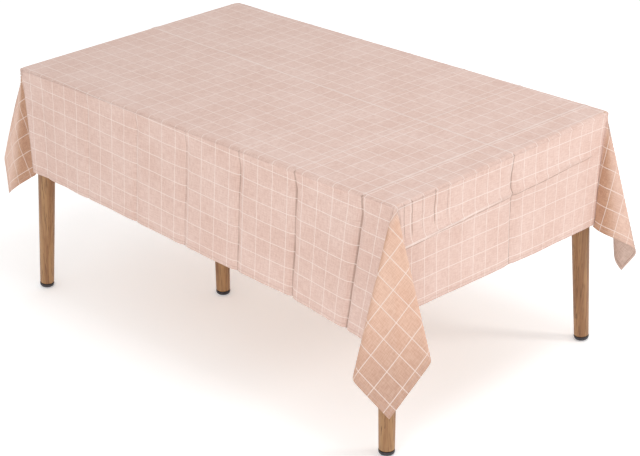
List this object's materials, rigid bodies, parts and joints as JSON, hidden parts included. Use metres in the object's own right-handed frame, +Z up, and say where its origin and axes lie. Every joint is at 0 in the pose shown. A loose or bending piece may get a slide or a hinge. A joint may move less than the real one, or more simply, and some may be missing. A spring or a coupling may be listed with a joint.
{
  "type": "tablecloth on a table",
  "caption": "Rectangular dining table on tapered turned legs with black domed feet, dressed with a loose printed check tablecloth that hangs over all sides and folds into a flap at each corner.",
  "frame": {"origin": "on the floor, under the middle of the table", "axes": "+X along the table's length, towards the end away from the support leg; +Y across it, away from the side where the cloth hangs lowest; +Z up"},
  "size_m": [1.7732, 1.1734, 0.7297],
  "materials": {
    "board": "beech-faced board, satin lacquer",
    "wood": "turned beech, satin lacquer",
    "cap": "moulded black plastic",
    "steel": "zinc-plated pressed steel",
    "cloth": "pale peach-pink coated cloth with a thin off-white printed check"
  },
  "bodies": {
    "table": {"foot_cap_far_left": "cap", "foot_cap_far_right": "cap", "foot_cap_near_left": "cap", "foot_cap_near_right": "cap", "foot_cap_support": "cap", "foot_screw_far_left": "steel", "foot_screw_far_right": "steel", "foot_screw_near_left": "steel", "foot_screw_near_right": "steel", "foot_screw_support": "steel", "hanger_bolt_far_left": "steel", "hanger_bolt_far_right": "steel", "hanger_bolt_near_left": "steel", "hanger_bolt_near_right": "steel", "hanger_bolt_support": "steel", "leg_far_left": "wood", "leg_far_right": "wood", "leg_near_left": "wood", "leg_near_right": "wood", "leg_plate_far_left": "steel", "leg_plate_far_right": "steel", "leg_plate_near_left": "steel", "leg_plate_near_right": "steel", "leg_plate_support": "steel", "leg_support": "wood", "plate_screw_far_left_1": "steel", "plate_screw_far_left_2": "steel", "plate_screw_far_left_3": "steel", "plate_screw_far_left_4": "steel", "plate_screw_far_right_1": "steel", "plate_screw_far_right_2": "steel", "plate_screw_far_right_3": "steel", "plate_screw_far_right_4": "steel", "plate_screw_near_left_1": "steel", "plate_screw_near_left_2": "steel", "plate_screw_near_left_3": "steel", "plate_screw_near_left_4": "steel", "plate_screw_near_right_1": "steel", "plate_screw_near_right_2": "steel", "plate_screw_near_right_3": "steel", "plate_screw_near_right_4": "steel", "plate_screw_support_1": "steel", "plate_screw_support_2": "steel", "plate_screw_support_3": "steel", "plate_screw_support_4": "steel", "table_top": "board"},
    "tablecloth": {"tablecloth": "cloth"}
  },
  "joints": [
    {"name": "cloth_lift", "type": "slide", "parent": "table", "child": "tablecloth", "axis": [0, 0, 1], "range_m": [0, 0.6]}
  ]
}
